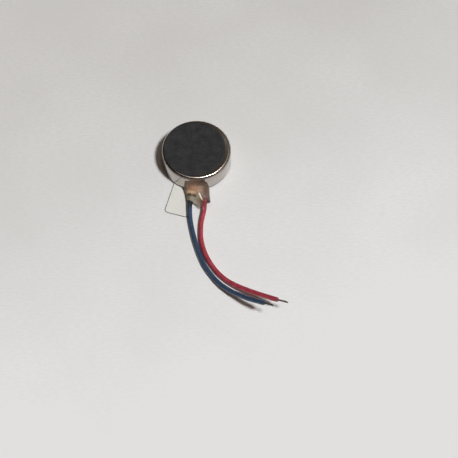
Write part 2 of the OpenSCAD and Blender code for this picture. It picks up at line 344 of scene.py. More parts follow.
def line_mask(tree, start, end, width):
    """1 along a line seen from above and 0 beside it and past its ends, with all sizes in millimetres."""
    along = (end - start).normalized()
    across = Vector((-along.y, along.x))
    reach = reach_along(tree, (*along, 0.0))
    apart = maths(tree, "SUBTRACT", reach_along(tree, (*across, 0.0)), across.dot(start) * MM)
    first, last = along.dot(start), along.dot(end)
    near = fade(tree, maths(tree, "ABSOLUTE", apart), LINE_BLUR * width * MM, width * MM)
    begun = fade(tree, reach, first * MM, first * MM + LINE_START_FADE * MM)
    ended = fade(tree, reach, last * MM, last * MM - LINE_END_FADE * MM)
    return maths(tree, "MULTIPLY", near, maths(tree, "MULTIPLY", begun, ended))


def mixed(tree, factor, first, second):
    """Two colours mixed by a factor. Each is a colour or a node's output."""
    node = add(tree, "Mix", data_type="RGBA")
    tree.links.new(factor, node.inputs[0])
    for socket, colour in ((node.inputs[6], first), (node.inputs[7], second)):
        if isinstance(colour, bpy.types.NodeSocket):
            tree.links.new(colour, socket)
        else:
            socket.default_value = (*colour, 1)
    return node.outputs[2]


# ---------------------------------------- materials

def round_coords(tree, turns, height):
    """Coordinates that wrap round the Z axis: angle times turns, and Z times height."""
    parts = axes(tree)
    across = maths(tree, "MULTIPLY", maths(tree, "ARCTAN2", parts["Y"], parts["X"]), turns)
    up = maths(tree, "MULTIPLY", parts["Z"], height)
    return add(tree, "CombineXYZ", {"X": across, "Y": up}).outputs["Vector"]


# The plating's bands in millimetres: the rim and the painted dark reflection line are depths below the cup's
# top, the painted shade at the foot is heights above its lower edge.
RIM_START, RIM_END = 0.45, 0.1
RIM_ROUGHNESS = 0.12
DARK_REFLECTION_DEPTH = 0.3
DARK_REFLECTION_HALF, DARK_REFLECTION_FADE = 0.06, 0.14
DARK_REFLECTION_SHARE = 0.4
FOOT_SHADE_START, FOOT_SHADE_END = 0.12, 0.28
FOOT_SHADE_SHARE = 0.15


def nickel_material():
    """Bright nickel plate: fine upright drawing lines, scuffs, a duller rim, a painted dark reflection line
    under the rounded edge and painted shade at the foot.
    """
    mat, tree, shader = new_material("nickel_plate", Metallic=1.0, Anisotropic=0.75)
    around = add(tree, "Tangent", direction_type="RADIAL", axis="Z").outputs["Tangent"]
    link(tree, around, shader, "Tangent")
    noise_inputs = {"Vector": round_coords(tree, 90, 260), "Scale": 1.0, "Detail": 4.0}
    lines = add(tree, "TexNoise", noise_inputs).outputs["Fac"]
    scuffs = grain(tree, coords(tree), 0.0009, 5.0, 0.65)
    z = axes(tree)["Z"]
    rim = fade(tree, z, (CASE_TOP - RIM_START) * MM, (CASE_TOP - RIM_END) * MM)
    body_rough = spread(tree, maths(tree, "MULTIPLY", lines, scuffs), 0.06, 0.24)
    rim_rough = maths(tree, "MULTIPLY", rim, RIM_ROUGHNESS)
    link(tree, maths(tree, "ADD", body_rough, rim_rough), shader, "Roughness")
    colour = ramp(tree, scuffs, [(0.3, (0.44, 0.4, 0.37)), (0.7, (0.53, 0.48, 0.445))])
    # Painted shade: the colour is darkened near the lower edge, standing in for the shade where the cup meets
    # the sheet, and along a line under the rounded edge, standing in for the dark surroundings reflected
    # there.
    foot = fade(tree, z, (CASE_Z + FOOT_SHADE_START) * MM, (CASE_Z + FOOT_SHADE_END) * MM, FOOT_SHADE_SHARE)
    from_line = maths(tree, "ABSOLUTE", maths(tree, "SUBTRACT", z, (CASE_TOP - DARK_REFLECTION_DEPTH) * MM))
    dark_reflection_line = fade(tree, from_line, DARK_REFLECTION_HALF * MM, DARK_REFLECTION_FADE * MM, DARK_REFLECTION_SHARE)
    link(tree, dimmed(tree, dimmed(tree, colour, foot), dark_reflection_line), shader, "Base Color")
    relief(tree, shader, lines, 0.000001, 0.5)
    return mat


def steel_material(name, colour, rough):
    """Plain steel with fine crossing scratches."""
    mat, tree, shader = new_material(name, Metallic=1.0)
    scratches = grain(tree, stretched(tree, (1, 9, 9)), 0.0006, 6.0, 0.7)
    link(tree, spread(tree, scratches, rough - 0.08, rough + 0.14), shader, "Roughness")
    darker = tuple(0.82 * c for c in colour)
    link(tree, ramp(tree, scratches, [(0.3, darker), (0.7, colour)]), shader, "Base Color")
    relief(tree, shader, scratches, 0.000003, 0.5)
    return mat


def foam_material():
    """Matt black fine-celled foam, a little dusty."""
    mat, tree, shader = new_material("black_foam", Roughness=0.96, Specular_IOR_Level=0.25)
    cells = add(tree, "TexVoronoi", {"Vector": coords(tree), "Scale": 9000.0}).outputs["Distance"]
    clouds = grain(tree, coords(tree), 0.0012, 4.0, 0.6)
    dust = grain(tree, coords(tree), 0.00022, 3.0, 0.6)
    dusty = maths(tree, "MULTIPLY", clouds, dust)
    colour = ramp(tree, dusty, [(0.12, (0.02, 0.02, 0.0215)), (0.42, (0.047, 0.047, 0.05))])
    link(tree, colour, shader, "Base Color")
    relief(tree, shader, cells, 0.00003, 0.9)
    return mat


def film_material(name, colour, alpha, rough):
    """A thin clear film, a little wavy, with fine scratches."""
    mat, tree, shader = new_material(name, Alpha=alpha, Specular_IOR_Level=0.6)
    waves = grain(tree, coords(tree), 0.003, 2.0)
    scratches = grain(tree, stretched(tree, (1, 6, 1)), 0.0005, 5.0, 0.7)
    link(tree, spread(tree, scratches, rough, rough + 0.12), shader, "Roughness")
    darker = tuple(0.9 * c for c in colour)
    link(tree, ramp(tree, waves, [(0.3, darker), (0.7, colour)]), shader, "Base Color")
    relief(tree, shader, waves, 0.00002, 0.4)
    return mat


CREASE = [Vector((0.25, -5.9)), Vector((0.31, -6.09)), Vector((1.0, -7.42)), Vector((1.12, -8.1))]
CREASE_HEIGHT = 0.09
CREASE_WIDTH = 0.07
# Painted light on the film, in millimetres: a highlight along a pale fold, a shadow along a dark fold and a
# shadow in the lower right corner.
PALE_FOLD_HIGHLIGHT = (Vector((-1.7, -5.8)), Vector((0.1, -6.1)), 0.09)
PALE_FOLD_HIGHLIGHT_SHARE = 0.55
FOLD_SHADOW = (Vector((-1.7, -6.2)), Vector((0.15, -6.6)), 0.1)
FILM_FREE_Y, FILM_WALL_Y = -8.2, -5.0
FILM_UNEVEN = 0.22
RIGHT_START_X, RIGHT_END_X = 0.2, 1.1
CORNER_SHADOW_START_X, CORNER_SHADOW_END_X = 1.6, 1.85
CORNER_SHADOW_START_Y, CORNER_SHADOW_END_Y = -6.5, -6.9


def film_colour_and_shade(tree, place, across):
    """The film's mottled colour without its folds, with painted shade, darker high on the case wall and to
    the right, and painted with the colours of the solder and red lead beneath it. place runs from its free
    end to the case wall.
    """
    left = ramp(tree, place, [
        (0.0, (0.28, 0.24, 0.2)), (0.3, (0.37, 0.335, 0.24)), (0.55, (0.36, 0.3, 0.2)),
        (0.68, (0.54, 0.33, 0.2)), (0.86, (0.4, 0.22, 0.135)), (0.97, (0.21, 0.13, 0.09)),
    ])
    right = ramp(tree, place, [
        (0.0, (0.36, 0.06, 0.07)), (0.3, (0.32, 0.08, 0.08)), (0.46, (0.26, 0.17, 0.16)),
        (0.6, (0.21, 0.13, 0.09)), (0.75, (0.15, 0.085, 0.056)), (0.97, (0.13, 0.078, 0.055)),
    ])
    stains = ramp(tree, grain(tree, coords(tree), 0.0004, 4.0, 0.65), [(0.35, (0.72,)), (0.65, (1.18,))])
    return dimmed(tree, mixed(tree, across, left, right), stains)


def film_alpha(tree, place, across):
    """How solid the film looks without its folds: clearest near its free end."""
    left = ramp(tree, place, [
        (0.1, (0.66,)), (0.3, (0.5,)), (0.5, (0.64,)), (0.7, (0.84,)), (0.95, (0.9,)),
    ])
    right = ramp(tree, place, [(0.12, (0.2,)), (0.36, (0.36,)), (0.5, (0.66,)), (0.7, (0.86,))])
    both = add(tree, "Mix", {0: across}, data_type="FLOAT")
    tree.links.new(left, both.inputs[2])
    tree.links.new(right, both.inputs[3])
    return both.outputs[0]


def amber_material():
    """Amber film with painted shade: darker brown on the case wall and browner to the right, warm over the
    solder and pale at its end, with painted highlights on the crease and a fold, a painted fold shadow and a
    painted shadow in its lower right corner.
    """
    mat, tree, shader = new_material("amber_film", Specular_IOR_Level=0.5)
    parts = axes(tree)
    blotches = grain(tree, coords(tree), 0.0009, 3.0, 0.6)
    jitter = maths(tree, "MULTIPLY", maths(tree, "ADD", blotches, -0.5), FILM_UNEVEN)
    place = maths(tree, "ADD", fade(tree, parts["Y"], FILM_FREE_Y * MM, FILM_WALL_Y * MM), jitter)
    across = fade(tree, parts["X"], RIGHT_START_X * MM, RIGHT_END_X * MM)
    # Painted light: a highlight along the pale fold and the crease, and shadow along the dark fold and in the
    # lower right corner.
    pale_fold_highlight = maths(tree, "MULTIPLY", line_mask(tree, *PALE_FOLD_HIGHLIGHT), PALE_FOLD_HIGHLIGHT_SHARE)
    fold_shadow = line_mask(tree, *FOLD_SHADOW)
    crease_highlight = line_mask(tree, CREASE[1], CREASE[2], CREASE_WIDTH)
    right_side = fade(tree, parts["X"], CORNER_SHADOW_START_X * MM, CORNER_SHADOW_END_X * MM)
    lower_end = fade(tree, parts["Y"], CORNER_SHADOW_START_Y * MM, CORNER_SHADOW_END_Y * MM)
    corner_shadow = maths(tree, "MULTIPLY", right_side, lower_end)
    colour = mixed(tree, pale_fold_highlight, film_colour_and_shade(tree, place, across), (0.74, 0.55, 0.38))
    colour = mixed(tree, fold_shadow, colour, (0.07, 0.04, 0.025))
    colour = mixed(tree, crease_highlight, colour, (0.86, 0.8, 0.62))
    link(tree, mixed(tree, corner_shadow, colour, (0.03, 0.02, 0.018)), shader, "Base Color")
    # The painted fold shadow, crease highlight and corner shadow are drawn solid.
    solid = maths(tree, "MAXIMUM", maths(tree, "MAXIMUM", crease_highlight, corner_shadow), fold_shadow)
    link(tree, maths(tree, "MAXIMUM", film_alpha(tree, place, across), solid), shader, "Alpha")
    gloss = maths(tree, "MULTIPLY", crease_highlight, 0.3)
    link(tree, maths(tree, "SUBTRACT", spread(tree, blotches, 0.42, 0.6), gloss), shader, "Roughness")
    relief(tree, shader, blotches, 0.00002, 0.3)
    return mat


FILM_EDGE_SHADE_SHARE = 0.92
FILM_EDGE_SHADE_START_Y, FILM_EDGE_SHADE_END_Y = -8.5, -8.0
HIGHLIGHT_LINE_SHARE = 0.65
HIGHLIGHT_LINE = (Vector((0.84, -6.9)), Vector((1.08, -8.9)), 0.035)


def vinyl_material(name, dark, light, shade_colour, speck_and_highlight):
    """Soft vinyl insulation: waxy, with faint drawing marks, and painted dark with pale specks next to the
    film, as shade under its edge.

    speck_and_highlight is the colour of its pale specks, and of a painted highlight line, which crosses only
    the red lead.
    """
    mat, tree, shader = new_material(name, Specular_IOR_Level=0.45, Coat_Weight=0.25,
                                     Coat_Roughness=0.25, Subsurface_Weight=0.08,
                                     Subsurface_Scale=0.0003)
    shader.inputs["Subsurface Radius"].default_value = (1.0, 0.4, 0.4)
    marks = grain(tree, coords(tree), 0.0007, 5.0, 0.65)
    fine = grain(tree, coords(tree), 0.00012, 3.0, 0.6)
    colour = ramp(tree, marks, [(0.32, dark), (0.62, light)])
    # Painted shade: next to the film the colour turns dark, standing in for the shade under the film's edge,
    # with pale specks.
    next_to_film = fade(tree, axes(tree)["Y"], FILM_EDGE_SHADE_START_Y * MM, FILM_EDGE_SHADE_END_Y * MM)
    specks = grain(tree, coords(tree), 0.00022, 2.0, 0.5)
    shade_and_specks = ramp(tree, specks, [(0.4, shade_colour), (0.62, shade_colour), (0.7, speck_and_highlight)])
    colour = mixed(tree, maths(tree, "MULTIPLY", next_to_film, FILM_EDGE_SHADE_SHARE), colour, shade_and_specks)
    # Painted highlight: a pale line along the red lead below the crease.
    highlight_line = maths(tree, "MULTIPLY", line_mask(tree, *HIGHLIGHT_LINE), HIGHLIGHT_LINE_SHARE)
    link(tree, mixed(tree, highlight_line, colour, speck_and_highlight), shader, "Base Color")
    link(tree, spread(tree, marks, 0.3, 0.48), shader, "Roughness")
    relief(tree, shader, fine, 0.000012, 0.5)
    return mat


def solder_material():
    """Bright solder with a faintly frosted, rippled skin."""
    mat, tree, shader = new_material("solder_metal", Metallic=1.0)
    frost = grain(tree, coords(tree), 0.00016, 4.0, 0.6)
    link(tree, ramp(tree, frost, [(0.3, (0.52, 0.51, 0.49)), (0.7, (0.72, 0.71, 0.69))]),
         shader, "Base Color")
    link(tree, spread(tree, frost, 0.16, 0.42), shader, "Roughness")
    relief(tree, shader, frost, 0.000012, 0.5)
    return mat


def plain_material(name, dark, light, rough, cell, depth, metallic=0.0):
    """A surface with two close colours, uneven gloss and fine relief, all from one noise."""
    mat, tree, shader = new_material(name, Metallic=metallic)
    fleck = grain(tree, coords(tree), cell, 5.0, 0.6)
    link(tree, ramp(tree, fleck, [(0.3, dark), (0.7, light)]), shader, "Base Color")
    link(tree, spread(tree, fleck, rough - 0.06, rough + 0.1), shader, "Roughness")
    relief(tree, shader, fleck, depth, 0.6)
    return mat


def winding_material():
    """Enamelled copper wire: clear-coated, a little uneven from turn to turn."""
    mat, tree, shader = new_material("coil_copper", Metallic=1.0, Coat_Weight=0.8, Coat_Roughness=0.1)
    turns = grain(tree, stretched(tree, (1, 1, 12)), 0.0004, 3.0, 0.6)
    link(tree, ramp(tree, turns, [(0.3, (0.42, 0.15, 0.06)), (0.7, (0.66, 0.28, 0.13))]),
         shader, "Base Color")
    link(tree, spread(tree, turns, 0.2, 0.36), shader, "Roughness")
    return mat


NICKEL = nickel_material()
PLATE_STEEL = steel_material("plate_steel", (0.6, 0.57, 0.53), 0.24)
SHAFT_STEEL = steel_material("shaft_steel", (0.66, 0.66, 0.66), 0.16)
FOAM = foam_material()
ADHESIVE = film_material("adhesive_gum", (0.66, 0.65, 0.56), 0.75, 0.45)
LINER = film_material("liner_film", (1.0, 0.97, 0.7), 0.06, 0.06)
# The liner's cut edge and a narrow band along it are painted dark, standing in for the shade at the edge.
LINER_EDGE_SHADE = film_material("liner_edge_shade", (0.045, 0.05, 0.04), 0.88, 0.2)
AMBER = amber_material()
FLEX = plain_material("flex_polyimide", (0.42, 0.16, 0.03), (0.58, 0.25, 0.06), 0.3, 0.0008, 0.000004)
GOLD = plain_material("gold_pads", (0.72, 0.47, 0.18), (0.86, 0.62, 0.29), 0.22, 0.0003, 0.000003, 1.0)
BRUSH_METAL = plain_material("brush_alloy", (0.62, 0.45, 0.22), (0.74, 0.58, 0.33), 0.24, 0.0002,
                             0.000002, 1.0)
SOLDER = solder_material()
TINNED = plain_material("tinned_strands", (0.26, 0.25, 0.24), (0.46, 0.45, 0.43), 0.34, 0.0002,
                        0.000006, 1.0)
# The last two colours are the painted shade next to the film and the colour of the specks and the painted
# highlight line.
RED_VINYL = vinyl_material("red_vinyl", (0.3, 0.032, 0.05), (0.42, 0.055, 0.08), (0.24, 0.03, 0.04),
                           (0.72, 0.42, 0.4))
BLUE_VINYL = vinyl_material("blue_vinyl", (0.023, 0.046, 0.095), (0.043, 0.076, 0.142),
                            (0.004, 0.008, 0.012), (0.2, 0.22, 0.24))
WASHER = plain_material("washer_film", (0.68, 0.67, 0.6), (0.8, 0.79, 0.74), 0.5, 0.0003, 0.000003)
MAGNET = plain_material("magnet_coat", (0.09, 0.09, 0.1), (0.15, 0.15, 0.165), 0.38, 0.0004, 0.000006, 0.6)
BOARD = plain_material("board_mask", (0.02, 0.1, 0.045), (0.03, 0.16, 0.07), 0.36, 0.0006, 0.000004)
BRONZE = plain_material("sintered_bronze", (0.36, 0.22, 0.09), (0.52, 0.34, 0.15), 0.42, 0.00012,
                        0.00001, 1.0)
COPPER = winding_material()
TUNGSTEN = plain_material("tungsten_alloy", (0.26, 0.26, 0.27), (0.38, 0.38, 0.4), 0.44, 0.00015,
                          0.00001, 1.0)
RESIN = plain_material("moulded_resin", (0.018, 0.019, 0.022), (0.035, 0.036, 0.04), 0.42, 0.0005,
                       0.000008)


# ---------------------------------------- case, foam, adhesive and liner

def case_profile():
    """The cup's wall as a closed profile: outside up, over the rounded edge, and back down inside."""
    lip = 0.03
    outer_r, inner_r = CASE_R, CASE_R - CASE_WALL
    inner_top, inner_edge = CASE_TOP - CASE_WALL, CASE_EDGE_R - CASE_WALL
    centre_r, centre_z = CASE_R - CASE_EDGE_R, CASE_TOP - CASE_EDGE_R
    outside = arc(outer_r - lip, CASE_Z + lip, lip, -90, 0, 4)
    outside += arc(centre_r, centre_z, CASE_EDGE_R, 0, 90, 16)
    hole = [(CASE_HOLE_R, CASE_TOP), (CASE_HOLE_R, inner_top)]
    inside = arc(centre_r, inner_top - inner_edge, inner_edge, 90, 0, 6)
    return outside + hole + inside + [(inner_r, CASE_Z)]


def build_case():
    """The drawn cup, with the slot for the tongue and the openings for the locking lugs."""
    case = make_piece("case_shell", *lathe(case_profile(), 320), "stator", [NICKEL])
    cut_box(case, (0, -CASE_R, (CASE_Z + SLOT_TOP) / 2 - 0.5), (SLOT_W, 2, SLOT_TOP - CASE_Z + 1))
    for angle in LUG_ANGLES:
        cut_box(case, (0, -CASE_R, PLATE_TOP - 0.5), (LUG_W, 2, 1.01), angle)
    finish_mesh(case, [NICKEL], 35)
    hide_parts("case_cup")


def build_foam():
    """A die-cut disc whose edge is a little crushed and whose face is softly uneven."""
    radius, thick = size("foam_pad").x / 2, size("foam_pad").z
    centre = Vector((middle("foam_pad").x, 0, low("foam_pad").z))
    rings, steps = 40, 192
    crush, crush_reach, sunk = 0.09, 0.16, 0.02
    verts, faces = [centre + Vector((0, 0, thick))], []
    for i in range(1, rings + 1):
        r = radius * i / rings
        for k in range(steps):
            angle = math.tau * k / steps
            x, y = r * math.cos(angle), r * math.sin(angle)
            rounding = crush * max(0.0, 1 - (radius - r) / crush_reach) ** 2
            swell = 0.012 * noise.noise(Vector((x * 0.7, y * 0.7, 3.1)))
            pores = 0.006 * noise.noise(Vector((x * 6, y * 6, 7.7)))
            verts.append(centre + Vector((x, y, thick - sunk - rounding + swell + pores)))
    for i in range(1, 5):
        r = radius + 0.015 * math.sin(math.pi * i / 5)
        z = (thick - sunk - crush) * (1 - i / 4)
        verts += [centre + Vector((r * math.cos(math.tau * k / steps),
                                   r * math.sin(math.tau * k / steps), z)) for k in range(steps)]
    verts.append(centre)
    for k in range(steps):
        n = (k + 1) % steps
        faces.append((0, 1 + k, 1 + n))
        for i in range(rings + 3):
            a, b = 1 + i * steps, 1 + (i + 1) * steps
            faces.append((a + k, b + k, b + n, a + n))
        last = 1 + (rings + 3) * steps
        faces.append((last + k, len(verts) - 1, last + n))
    foam = make_piece("foam_disc", verts, faces, "stator", [FOAM], 60)
    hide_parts("foam_pad")


def build_adhesive():
    """The adhesive disc, with a slightly squeezed-out edge."""
    radius = size("adhesive_disc").x / 2
    z0, z1 = low("adhesive_disc").z, high("adhesive_disc").z
    half = (z1 - z0) / 2
    profile = [(0.001, z0)] + arc(radius - half, z0 + half, half, -90, 90, 8) + [(0.001, z1)]
    adhesive = make_piece("adhesive_gum_disc", *lathe(profile, 160), "stator", [ADHESIVE])
    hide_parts("adhesive_disc")


LINER_R = 4.7
TAB_W = 3.6
TAB_REACH = 9.5
TAB_SHIFT = -0.3
TAB_ANGLE = 16
TAB_CORNER_R = 0.5
TAB_FILLET_R = 1.5


def liner_outline():
    """The liner's outline, anticlockwise from above: the disc, and a tab with fillets and round corners."""
    def fillet(edge):
        """The middle of the fillet beside a tab's edge, and the angle where it meets the disc."""
        x = abs(edge) + TAB_FILLET_R
        y = -math.sqrt((LINER_R + TAB_FILLET_R) ** 2 - x * x)
        return x, y, math.degrees(math.atan2(-y, x))

    right, left = TAB_SHIFT + TAB_W / 2, TAB_SHIFT - TAB_W / 2
    rx, ry, ra = fillet(right)
    lx, ly, la = fillet(left)
    corner_y = TAB_CORNER_R - TAB_REACH
    outline = arc(0, 0, LINER_R, -ra, 180 + la, 140)
    outline += arc(-lx, ly, TAB_FILLET_R, la, 0, 12)
    outline += arc(left + TAB_CORNER_R, corner_y, TAB_CORNER_R, 180, 270, 10)
    outline += arc(right - TAB_CORNER_R, corner_y, TAB_CORNER_R, 270, 360, 10)
    outline += arc(rx, ry, TAB_FILLET_R, 180, 180 - ra, 12)
    turn = Matrix.Rotation(math.radians(-TAB_ANGLE), 2)
    return [turn @ Vector(p) for p in outline]


def inset(outline, amount):
    """The outline moved inwards, square to its own direction at each point."""
    moved_in = []
    for before, point, after in zip(outline[-1:] + outline[:-1], outline, outline[1:] + outline[:1]):
        along = (after - before).normalized()
        moved_in.append(point + Vector((-along.y, along.x)) * amount)
    return moved_in


def build_liner():
    """Clear film with a polished face, a rounded cut edge and a narrow band along it that is painted dark as
    the shade at the cut edge.
    """
    thick, band = size("release_liner").z, 0.085
    outline = []
    for point in liner_outline():
        if not outline or (point - outline[-1]).length > 1e-4:
            outline.append(point)
    count = len(outline)
    loops = [(0.008, 0.0), (0.0, 0.2), (0.0, 0.8), (0.008, 1.0), (band, 1.0)]
    bm = bmesh.new()
    rings = [[bm.verts.new((p.x, p.y, thick * z)) for p in inset(outline, amount)]
             for amount, z in loops]
    for lower, upper in zip(rings, rings[1:]):
        for i in range(count):
            n = (i + 1) % count
            bm.faces.new((lower[i], lower[n], upper[n], upper[i])).material_index = 1
    inner = bm.faces.new(rings[-1])
    under = bm.faces.new(list(reversed(rings[0])))
    bmesh.ops.triangulate(bm, faces=[inner, under])
    bm.transform(Matrix.Scale(MM, 4))
    mesh = bpy.data.meshes.new("liner_sheet")
    bm.to_mesh(mesh)
    bm.free()
    liner = new_object("liner_sheet", mesh)
    liner.data.materials.append(LINER)
    liner.data.materials.append(LINER_EDGE_SHADE)
    liner.data.shade_smooth()
    liner.data.set_sharp_from_angle(angle=math.radians(30))
    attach(liner, "stator")
    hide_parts("release_liner")


# ---------------------------------------- leads

SKIN_UNEVEN = 0.012
END_SHRINK = (0.025, 0.008)
STRANDS_ROUND = 6
STRAND_SIDES = 8


def build_insulation(name, route, node, mat, seed):
    """A lead's vinyl tube with a slightly uneven skin and a hollow, faintly shrunk cut end."""
    steps = 8
    line = smooth_line(route, steps)[STRIP_START * steps: (len(route) - 2) * steps + 1]
    frames = line_frames(line)
    count = len(frames)

    def skin(i, angle):
        """The tube's uneven outer radius, smaller at its two ends."""
        bump = noise.noise(Vector((0.35 * i, 1.5 * math.cos(angle) + seed, 1.5 * math.sin(angle))))
        from_end = min(i, count - 1 - i)
        shrink = END_SHRINK[from_end] if from_end < len(END_SHRINK) else 0
        return LEAD_R * (1 + SKIN_UNEVEN * bump) - shrink

    sides = 24
    outside = tube(frames, skin, sides)
    inside = tube(frames, lambda i, angle: CORE_R + 0.04, sides)
    verts, faces = joined(outside, inside)
    for start in (0, (count - 1) * sides):
        for k in range(sides):
            n = (k + 1) % sides
            shift = count * sides
            faces.append((start + k, start + n, start + shift + n, start + shift + k))
    piece = make_piece(name, verts, faces, "stator", [mat], 50)
    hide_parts(node)


def build_strands(name, route, node, seed):
    """Seven thin strands twisted round each other, a little loose at the bare tip."""
    steps = 8
    line = smooth_line(route, steps)
    frames = line_frames(line)
    strand_r = CORE_R / 3 * 0.98
    pitch = 2.6
    bare = (len(route) - 2) * steps
    rng = random.Random(seed)
    parts = []
    for s in range(STRANDS_ROUND + 1):
        phase = math.tau * s / STRANDS_ROUND
        fray = rng.uniform(0.2, 0.9)
        drop = rng.randint(0, 1) if s else 0
        strand = []
        travelled = 0.0
        for i, (point, side, up) in enumerate(frames):
            if i:
                travelled += (line[i] - line[i - 1]).length
            loose = max(0, i - bare) / steps
            radius = 0 if s == STRANDS_ROUND else 2 * strand_r * (1 + fray * 0.5 * loose * loose)
            angle = phase + math.tau * travelled / pitch
            strand.append(point + radius * (math.cos(angle) * side + math.sin(angle) * up))
        strand = strand[: len(strand) - drop]
        own = line_frames(strand)
        verts, faces = tube(own, lambda i, angle: strand_r, STRAND_SIDES)
        last = len(verts) - STRAND_SIDES
        faces.append(tuple(reversed(range(STRAND_SIDES))))
        faces.append(tuple(range(last, len(verts))))
        parts.append((verts, faces))
    piece = make_piece(name, *joined(*parts), "stator", [TINNED], 60)
    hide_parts(node)


# ---------------------------------------- terminal

def build_solder():
    """Two solder joints: domes with spread-out feet, a little lopsided."""
    parts = []
    for index, x in enumerate((low("terminal_pads").x + 0.55, high("terminal_pads").x - 0.55)):
        profile = [(0.001, 0.4), (0.12, 0.385), (0.22, 0.34), (0.3, 0.26), (0.35, 0.16), (0.4, 0.07),
                   (0.46, 0.0), (0.001, 0.0)]
        verts, faces = lathe(profile, 48)
        lopsided = []
        for v in verts:
            v = Vector(v)
            swell = 1 + 0.08 * noise.noise(Vector((v.x * 2 + 5 * index, v.y * 2, v.z * 2)))
            lopsided.append(Vector((v.x * swell, v.y * 0.92 * swell, v.z)))
        place = Matrix.Translation((x, middle("terminal_pads").y, high("terminal_pads").z))
        parts.append(moved((lopsided, faces), place))
    piece = make_piece("solder_joints", *joined(*parts), "stator", [SOLDER], 60)
    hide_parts("terminal_solder")


def smooth_step(t):
    """0 up to 0 and 1 from 1 on, with an even slope between."""
    t = min(1.0, max(0.0, t))
    return t * t * (3 - 2 * t)


# The film's shape: each row runs from its left foot over the two leads to its right foot.
# The rows run from the film's edge on the case wall to its free edge.
FILM_NET = [
    [(-1.64, -4.77, 2.24), (-1.5, -4.81, 2.32), (-1.2, -4.9, 2.44), (-0.75, -4.985, 2.55),
     (-0.4, -5.03, 2.6), (0.1, -5.045, 2.62), (0.6, -5.01, 2.58), (1.0, -4.945, 2.45), (1.35, -4.86, 2.16),
     (1.64, -4.77, 1.7)],
    [(-1.66, -4.79, 1.9), (-1.52, -4.84, 2.0), (-1.22, -4.92, 2.12), (-0.78, -5.01, 2.2),
     (-0.4, -5.05, 2.22), (0.1, -5.07, 2.22), (0.6, -5.04, 2.18), (1.05, -4.97, 2.08),
     (1.45, -4.87, 1.8), (1.72, -4.79, 1.3)],
    [(-1.76, -4.84, 0.85), (-1.6, -4.9, 1.35), (-1.3, -5.05, 1.62), (-0.8, -5.15, 1.74),
     (-0.42, -5.18, 1.77), (0.1, -5.2, 1.78), (0.62, -5.17, 1.76), (1.15, -5.12, 1.68),
     (1.58, -5.0, 1.38), (1.85, -4.86, 0.7)],
    [(-1.82, -4.95, 0.12), (-1.62, -5.2, 0.8), (-1.3, -5.5, 1.24), (-0.82, -5.62, 1.44),
     (-0.42, -5.66, 1.55), (0.12, -5.7, 1.62), (0.62, -5.66, 1.6), (1.1, -5.6, 1.5),
     (1.58, -5.5, 1.12), (1.89, -5.35, 0.35)],
    [(-1.6, -5.6, 0.12), (-1.42, -5.85, 0.62), (-1.24, -6.05, 1.02), (-0.84, -6.2, 1.22),
     (-0.42, -6.22, 1.24), (0.1, -6.25, 1.38), (0.62, -6.22, 1.4), (1.12, -6.2, 1.36),
     (1.6, -6.05, 1.0), (1.92, -5.9, 0.3)],
    [(-1.45, -6.2, 0.12), (-1.34, -6.45, 0.55), (-1.23, -6.65, 0.93), (-0.87, -6.75, 1.15),
     (-0.45, -6.8, 1.02), (0.1, -6.85, 1.02), (0.66, -6.82, 1.14), (1.16, -6.8, 1.2),
     (1.66, -6.65, 0.93), (1.98, -6.45, 0.25)],
    [(-1.4, -6.55, 0.12), (-1.32, -6.8, 0.52), (-1.24, -6.98, 0.9), (-0.89, -7.1, 1.1),
     (-0.47, -7.2, 0.93), (0.08, -7.35, 0.8), (0.68, -7.45, 0.96), (1.17, -7.42, 1.12),
     (1.68, -7.15, 0.84), (2.02, -6.85, 0.2)],
    [(-1.38, -6.7, 0.12), (-1.31, -6.95, 0.5), (-1.24, -7.12, 0.86), (-0.9, -7.26, 1.08),
     (-0.47, -7.42, 0.9), (0.05, -7.72, 0.72), (0.6, -8.3, 0.82), (1.14, -8.2, 1.04),
     (1.66, -7.55, 0.78), (2.04, -7.08, 0.2)],
]


def crease_lift(point):
    """How far the pinched crease, which runs down on to the red lead, stands out of the film there."""
    flat = point.xy
    near = min((flat - a.lerp(b, min(1.0, max(0.0, (flat - a).dot(b - a) / (b - a).length_squared)))).length
               for a, b in zip(CREASE, CREASE[1:]))
    return CREASE_HEIGHT * math.exp(-((near / CREASE_WIDTH) ** 2) / 2)


def film_grid(steps):
    """The film's middle surface as rows of points, smooth through the net, with creases and wrinkles."""
    rows = [smooth_line(row, steps) for row in FILM_NET]
    columns = [smooth_line(column, steps) for column in zip(*rows)]
    grid = [list(row) for row in zip(*columns)]
    for row in grid:
        for point in row:
            wrinkle = 0.02 * noise.noise(Vector((point.x * 2.2, point.y * 2.2, point.z * 2.2 + 4.0)))
            fine = 0.005 * noise.noise(Vector((point.x * 7, point.y * 7, point.z * 7 + 9.0)))
            point.z += wrinkle + fine + crease_lift(point)
    return grid


